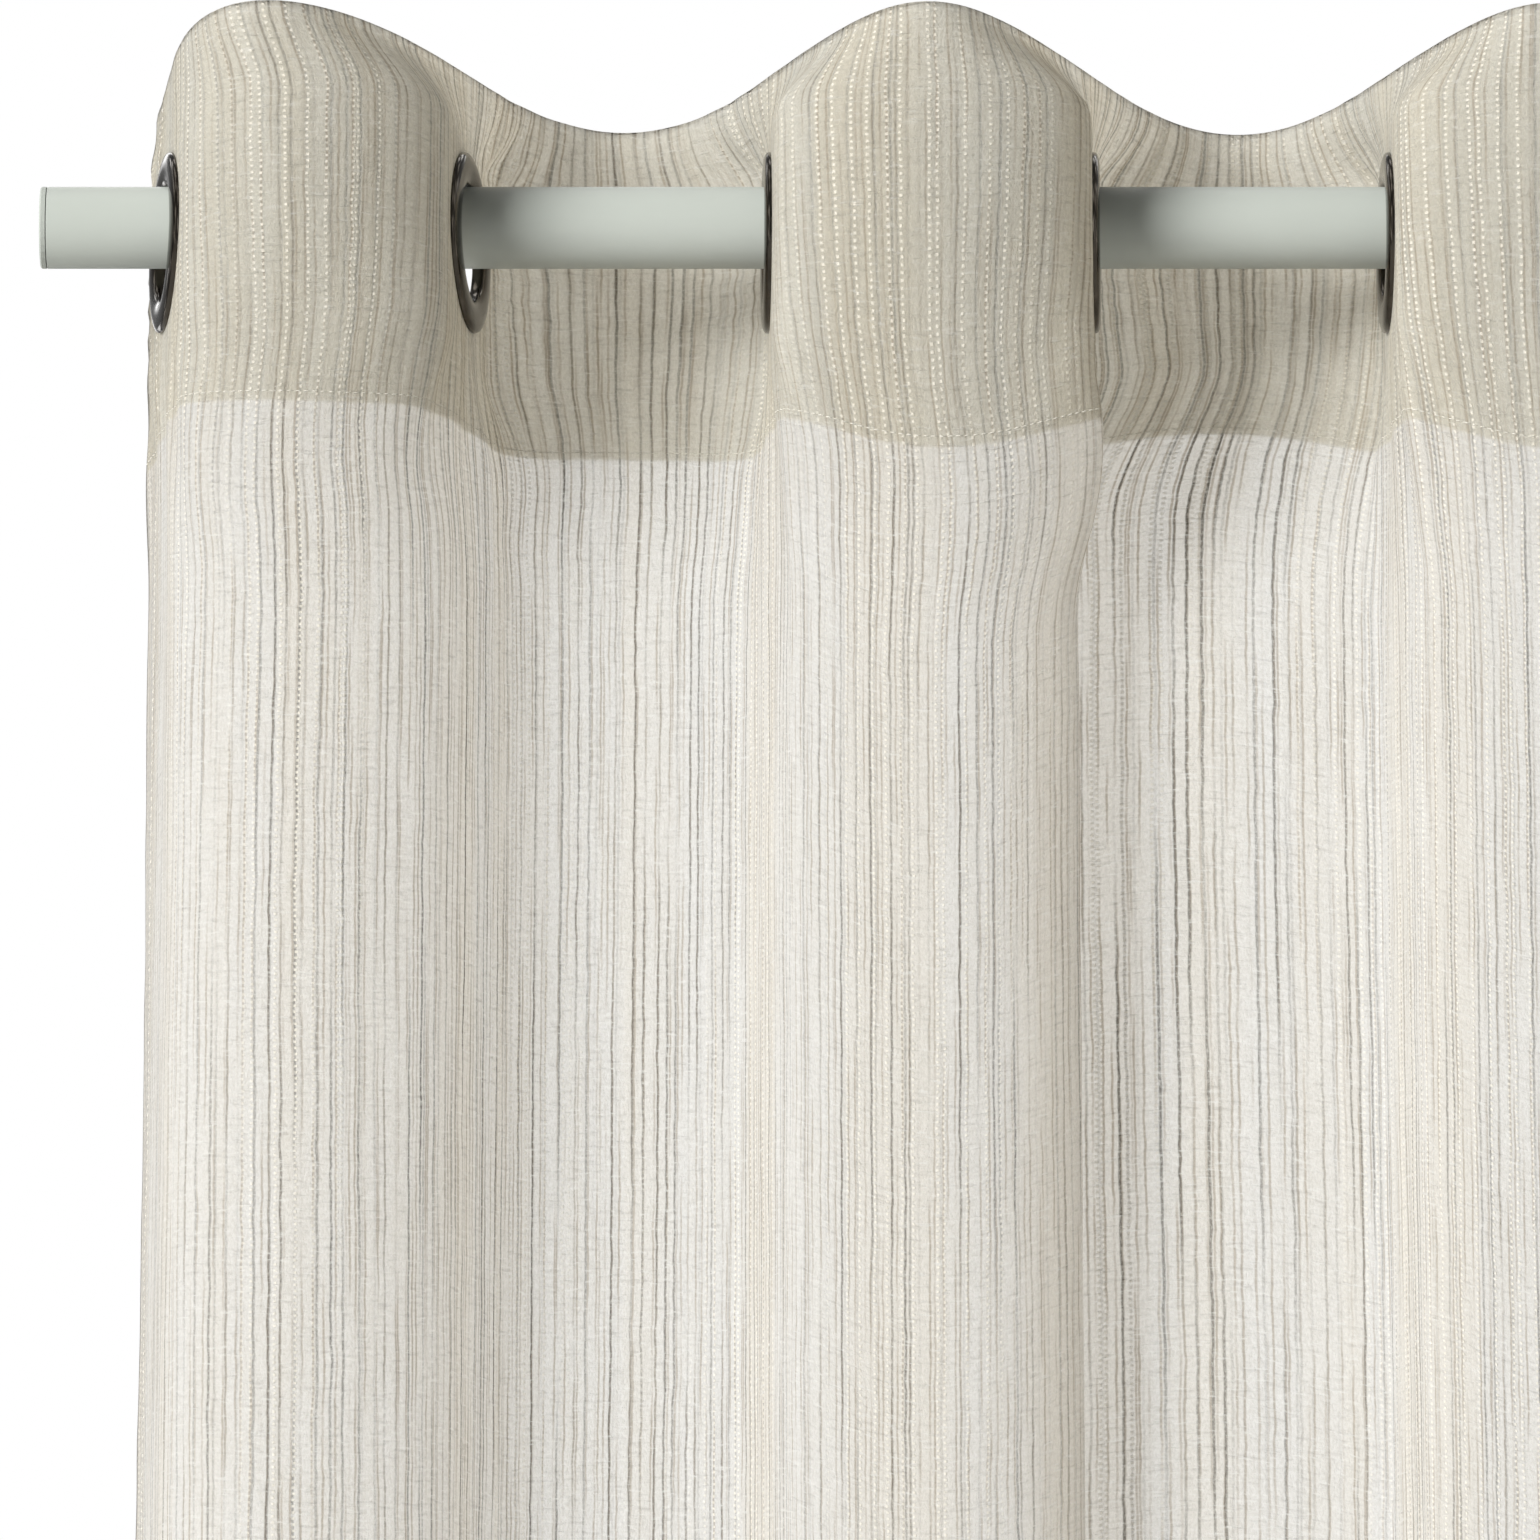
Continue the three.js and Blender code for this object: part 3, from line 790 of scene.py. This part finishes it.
curtains = {}
for side in ("left", "right"):
    curtain = panel(side)
    curtain.data.materials.append(LINEN)
    curtains[side] = curtain
    area = sum(face.area for face in curtain.data.polygons)
    flat_size = (waves[side].width + 2 * SIDE_HEM, DROP + HEADER_DEPTH + BOTTOM_HEM)
    print(f"{curtain.name}: {len(curtain.data.polygons)} faces, flat {flat_size[0]:.3f} x {flat_size[1]:.3f} m,",
          f"share of the flat area {area / (flat_size[0] * flat_size[1]):.2f}")

# %% [markdown]
# ## Stitching
#
# The header, the side hems and the bottom hem are held by one row of lock stitches each, near the turned edge.
# One stitch is modelled: a short, thick-middled loop of thread. It is copied along the rows at the stitch length,
# and each row is one piece that moves with its curtain. An array along a curve could lay the stitches out too,
# but it wouldn't turn each of them to face the way the cloth does.

# %% Sew the hems
STITCH, THREAD = 3.2 * MM, 0.42 * MM


def one_stitch():
    """A short thread, thickest in the middle, whose ends dip into the cloth."""
    let_go()
    along_x = (0, math.pi / 2, 0)
    bpy.ops.mesh.primitive_cylinder_add(vertices=5, radius=THREAD / 2, depth=STITCH * 0.72, rotation=along_x)
    stitch = settle(bpy.context.object, "stitch")
    take(stitch)
    bpy.ops.object.mode_set(mode="EDIT")
    bpy.ops.mesh.select_all(action="SELECT")
    bpy.ops.mesh.subdivide(number_cuts=1)
    bpy.ops.object.mode_set(mode="OBJECT")
    for vertex in stitch.data.vertices:
        share = abs(vertex.co.x) / (STITCH * 0.36)
        vertex.co.y *= 1 - 0.45 * share**2
        vertex.co.z *= 1 - 0.45 * share**2
        vertex.co.z -= 0.22 * MM * share**2
    faces_out(stitch)
    return stitch


def hanging_points(side, across, down):
    """Where points of the flat cloth hang, one by one, with the room side there."""
    wave = waves[side]
    places, facing = np.zeros((len(across), 3)), np.zeros((len(across), 3))
    for level in np.unique(down):
        at = down == level
        line = across[at]
        places[at, :2] = wave.row(line, level)
        places[at, 2] = CLOTH_TOP - level - wave.sag(line, level)
        facing[at, :2] = wave.room_side(line, level)
        off = LAYER + creases(wave, line, np.full(len(line), level))
        places[at] += facing[at] * off[:, None]
    mirror = np.array([1 if side == "left" else -1, 1, 1])
    places[:, 0] -= OUTER_X
    places *= mirror
    places[:, 1] += ROD_Y
    return places, facing * mirror


def sewn(side, name, across, down):
    """A row of stitches through these points of the flat cloth, as one piece."""
    places, facing = hanging_points(side, across, down)
    heading = np.gradient(places, axis=0)
    heading /= np.linalg.norm(heading, axis=1, keepdims=True)
    facing = facing - heading * (facing * heading).sum(1, keepdims=True)
    facing /= np.linalg.norm(facing, axis=1, keepdims=True)
    sideways = np.cross(facing, heading)
    pattern = np.array([vertex.co for vertex in STITCH_PATTERN.data.vertices])
    faces = [list(face.vertices) for face in STITCH_PATTERN.data.polygons]
    centre = places + facing * THREAD * 0.30
    points = centre[:, None]
    for axis, way in enumerate((heading, sideways, facing)):
        points = points + pattern[None, :, axis:axis + 1] * way[:, None]
    starts = range(0, len(places) * len(pattern), len(pattern))
    faces = [[corner + start for corner in face] for start in starts for face in faces]
    mesh = bpy.data.meshes.new(name)
    mesh.from_pydata(points.reshape(-1, 3).tolist(), [], faces)
    row = bpy.data.objects.new(name, mesh)
    bpy.context.scene.collection.objects.link(row)
    row.data.shade_smooth()
    row.data.materials.append(THREAD_FINISH)
    return row


def thread_finish():
    finish = Finish("linen_thread")
    place = finish.node("ShaderNodeTexCoord").outputs["Object"]
    twist = finish.noise(place, 2600, 2.0)
    shade = finish.mixed(twist.rise(0.3, 0.7), rgb(0.78, 0.76, 0.69), rgb(0.60, 0.57, 0.49))
    sockets = {"Base Color": shade, "Roughness": 0.8, "Normal": finish.bump(twist, 0.0002, 0.5)}
    return finish.shown(finish.node("ShaderNodeBsdfPrincipled", None, sockets).outputs[0])


THREAD_FINISH = thread_finish()
STITCH_PATTERN = one_stitch()
seams = {"left": [], "right": []}
for side in ("left", "right"):
    wave = waves[side]
    line = np.arange(0.004, wave.width - 0.004, STITCH)
    drop = np.arange(0.004, DROP - 0.004, STITCH)
    rows = {
        "header_stitching": (line, np.full(len(line), HEADER_DEPTH - 0.003)),
        "bottom_stitching": (line, np.full(len(line), DROP - BOTTOM_HEM + 0.003)),
        "outer_edge_stitching": (np.full(len(drop), SIDE_HEM - 0.003), drop),
        "inner_edge_stitching": (np.full(len(drop), wave.width - SIDE_HEM + 0.003), drop),
    }
    for name, (across, down) in rows.items():
        seams[side].append(sewn(side, f"{side}_{name}", across, down))
    print(f"{side} panel: {sum(len(points[0]) for points in rows.values())} stitches")
bpy.data.objects.remove(STITCH_PATTERN)

# %% [markdown]
# ## Eyelets
#
# An eyelet is moulded in two halves and plated dark. The front half is a domed ring with a barrel that passes
# through the hole in the cloth, and the back half is a lower ring that snaps onto the barrel. Each half is a
# closed outline spun about the hole's axis. A Screw modifier could turn it too, and spinning leaves a plain mesh
# that is simple to copy. One pair is modelled, and copies are turned and placed as the cloth runs at each eyelet.

# %% Turn the eyelets
BORE, RIM = EYELET_RADIUS - 11 * MM, EYELET_RADIUS


def turned(name, outline):
    """A ring spun from a closed outline of (radius, height)."""
    mesh = bpy.data.meshes.new(name)
    points = [(radius, 0, height) for radius, height in outline]
    mesh.from_pydata(points, [(k, (k + 1) % len(points)) for k in range(len(points))], [])
    ring = bpy.data.objects.new(name, mesh)
    bpy.context.scene.collection.objects.link(ring)
    take(ring)
    bpy.ops.object.mode_set(mode="EDIT")
    bpy.ops.mesh.select_all(action="SELECT")
    bpy.ops.mesh.spin(steps=72, angle=2 * math.pi, center=(0, 0, 0), axis=(0, 0, 1))
    bpy.ops.object.mode_set(mode="OBJECT")
    faces_out(ring)
    smooth(ring, 40)
    return ring


def dome(inner, outer, foot, rise, count=13):
    """Points over the top of a ring's rim, from its outer edge to its inner edge."""
    middle_radius, half = (inner + outer) / 2, (outer - inner) / 2
    angles = [math.pi * step / (count - 1) for step in range(count)]
    return [(middle_radius + half * math.cos(a), foot + rise * math.sin(a) ** 0.75) for a in angles]


CLOTH_FACE = 0.4 * MM
front_outline = [
    (RIM, CLOTH_FACE),
    *dome(BORE, RIM, 0.9 * MM, 2.05 * MM),
    (BORE, -1.7 * MM), (BORE + 0.3 * MM, -2.1 * MM), (BORE + 1.0 * MM, -2.1 * MM), (BORE + 1.3 * MM, -1.8 * MM),
    (BORE + 1.3 * MM, CLOTH_FACE),
]
back_outline = [
    (RIM, -CLOTH_FACE),
    *[(radius, -height) for radius, height in dome(BORE + 1.5 * MM, RIM, 0.8 * MM, 1.6 * MM)],
    (BORE + 1.5 * MM, -CLOTH_FACE),
]
halves = {"front": turned("eyelet_front", front_outline), "back": turned("eyelet_back", back_outline)}


def nickel_finish():
    finish = Finish("dark_nickel")
    place = finish.node("ShaderNodeTexCoord").outputs["Object"]
    smudge = finish.noise(place, 90, 3.0, 0.6)
    fine = finish.noise(place, 1400, 2.0)
    shade = finish.mixed(smudge.rise(0.35, 0.75), rgb(0.085, 0.074, 0.060), rgb(0.050, 0.043, 0.034))
    sockets = {
        "Base Color": shade, "Metallic": 1.0, "Roughness": 0.07 + smudge * 0.16,
        "Normal": finish.bump(fine, 0.00002, 0.25),
    }
    return finish.shown(finish.node("ShaderNodeBsdfPrincipled", None, sockets).outputs[0])


NICKEL = nickel_finish()
eyelet_pieces = 0
for side, sign in (("left", 1), ("right", -1)):
    for k, distance in enumerate(eyelet_distances(side)):
        yaw = math.radians(YAW_RING[k])
        heading = 1 if k % 2 else -1
        facing = Vector((sign * heading * math.cos(yaw), -math.sin(yaw), 0))
        upwards = Vector((0, 0, 1))
        beside = facing.cross(upwards)
        turn = Matrix((upwards, beside, facing)).transposed().to_4x4()
        place = Matrix.Translation((sign * (distance - OUTER_X), ROD_Y, EYELET_Z)) @ turn
        for half, pattern in halves.items():
            piece = copied(pattern, f"{side}_ring_{k + 1}_{half}", place)
            piece.data.materials.clear()
            piece.data.materials.append(NICKEL)
            node = f"{side}_eyelet_{k + 1}_{half}"
            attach(piece, "frame" if k == 0 else f"{side}_eyelet_{k + 1}")
            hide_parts(node)
            eyelet_pieces += 1
            if k == 1 and half == "front":
                low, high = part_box(node)
                points = [vertex.co for vertex in piece.data.vertices]
                off = max(abs(min(p[axis] for p in points) - low[axis]) for axis in range(3))
                print(f"{piece.name} is within {off / MM:.2f} mm of its place in the frame")
for pattern in halves.values():
    bpy.data.objects.remove(pattern)
print(eyelet_pieces, "eyelet halves")

# %% [markdown]
# ## Rod
#
# The rod is a steel tube, powder coated in a pale grey-green and cut square. Powder coating has a faint orange
# peel and few sharp highlights. It could be spun from an outline, but an open cylinder with Solidify keeps its
# wall as one number. Its cut edges are eased last.

# %% Draw the tube
let_go()
rod_low, rod_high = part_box("rod_tube")
bpy.ops.mesh.primitive_cylinder_add(
    vertices=96, radius=ROD_RADIUS, depth=rod_high.x - rod_low.x, end_fill_type="NOTHING",
    location=(0, ROD_Y, ROD_Z), rotation=(0, math.pi / 2, 0),
)
rod = settle(bpy.context.object, "curtain_rod")
shaped_by(rod, "SOLIDIFY", thickness=1.5 * MM, offset=-1)
shaped_by(rod, "BEVEL", width=0.08 * MM, segments=2, limit_method="ANGLE", angle_limit=math.radians(40))
faces_out(rod)
smooth(rod, 30)


def painted(name, light, dark, slot_roughness):
    finish = Finish(name)
    place = finish.node("ShaderNodeTexCoord").outputs["Object"]
    peel = finish.noise(place, 900, 2.0)
    broad = finish.noise(place, 22, 3.0)
    speck = finish.noise(place, 260, 1.0).rise(0.80, 0.84)
    shade = finish.mixed(broad.rise(0.3, 0.7), light, dark)
    shade = finish.mixed(speck * 0.5, shade, rgb(0.30, 0.29, 0.25))
    sockets = {
        "Base Color": shade, "Roughness": slot_roughness + broad * 0.12, "Specular IOR Level": 0.4,
        "Normal": finish.bump(peel + speck * 0.8, 0.00006, 0.35),
    }
    return finish.shown(finish.node("ShaderNodeBsdfPrincipled", None, sockets).outputs[0])


ROD_PAINT = painted("rod_paint", rgb(0.440, 0.466, 0.428), rgb(0.420, 0.446, 0.408), 0.36)
rod.data.materials.append(ROD_PAINT)
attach(rod, "frame")
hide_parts("rod_tube")
print("rod:", len(rod.data.polygons), "faces")

# %% [markdown]
# ## Brackets, screws and end plugs
#
# The brackets are cast and painted like the rod, a little whiter. Their screws are zinc plated. These parts have
# their final shapes in the frame, so here they get their finishes. The edges of the arms and the screws are eased
# by a bevel, as casting and paint leave them. The wall plates go without, because a bevel left a dark sliver there.

# %% Finish the hard parts of the frame
BRACKET_PAINT = painted("bracket_paint", rgb(0.74, 0.75, 0.70), rgb(0.69, 0.70, 0.65), 0.40)


def zinc_finish():
    finish = Finish("zinc_steel")
    place = finish.node("ShaderNodeTexCoord").outputs["Object"]
    cloudy = finish.noise(place, 320, 3.0, 0.6)
    fine = finish.noise(place, 3000, 1.0)
    shade = finish.mixed(cloudy.rise(0.3, 0.7), rgb(0.62, 0.63, 0.64), rgb(0.47, 0.48, 0.50))
    sockets = {
        "Base Color": shade, "Metallic": 1.0, "Roughness": 0.28 + cloudy * 0.2,
        "Normal": finish.bump(fine, 0.00003, 0.3),
    }
    return finish.shown(finish.node("ShaderNodeBsdfPrincipled", None, sockets).outputs[0])


ZINC = zinc_finish()
carried = {"plug": ROD_PAINT, "wall_plate": BRACKET_PAINT, "bracket_arm": BRACKET_PAINT, "screw": ZINC}
eased_by = {"bracket_arm": 0.7 * MM, "screw": 0.35 * MM}
refinished = 0
for name, node in frame["nodes"].items():
    for word, finish in carried.items():
        if word in name:
            node.data.materials.clear()
            node.data.materials.append(finish)
            if word in eased_by:
                weld = node.modifiers.new("weld", "WELD")
                weld.merge_threshold = 0.01 * MM
                bevel = node.modifiers.new("eased", "BEVEL")
                bevel.width, bevel.segments = eased_by[word], 3
                bevel.limit_method, bevel.angle_limit = "ANGLE", math.radians(35)
                bevel.harden_normals = True
            refinished += 1
            break
print(refinished, "parts of the frame given their finishes")

# %% [markdown]
# ## Floor
#
# The curtain hangs just clear of a pale floor, which isn't part of it.

# %% Lay the floor
let_go()
bpy.ops.mesh.primitive_plane_add(size=14, location=(0, 0, CLOTH_BOTTOM - 0.025))
floor = bpy.context.object
floor.name = "floor"
floor_finish = Finish("pale_floor")
mottle = floor_finish.noise(floor_finish.node("ShaderNodeTexCoord").outputs["Object"], 3.0, 3.0)
floor_shade = floor_finish.mixed(mottle.rise(0.3, 0.7), rgb(0.80, 0.80, 0.79), rgb(0.785, 0.785, 0.775))
floor_surface = floor_finish.node("ShaderNodeBsdfPrincipled", None, {"Base Color": floor_shade, "Roughness": 0.7})
floor.data.materials.append(floor_finish.shown(floor_surface.outputs[0]))

# %% [markdown]
# ## Handing over
#
# The curtains and their stitching ride with the rod.

# %% Ride with the rod
for side, sign in (("left", 1), ("right", -1)):
    curtain = curtains[side]
    for piece in (curtain, *seams[side]):
        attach(piece, "frame")
    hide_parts(f"{side}_panel")
    for piece in (curtain, *seams[side]):
        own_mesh(piece)

bpy.context.view_layer.update()
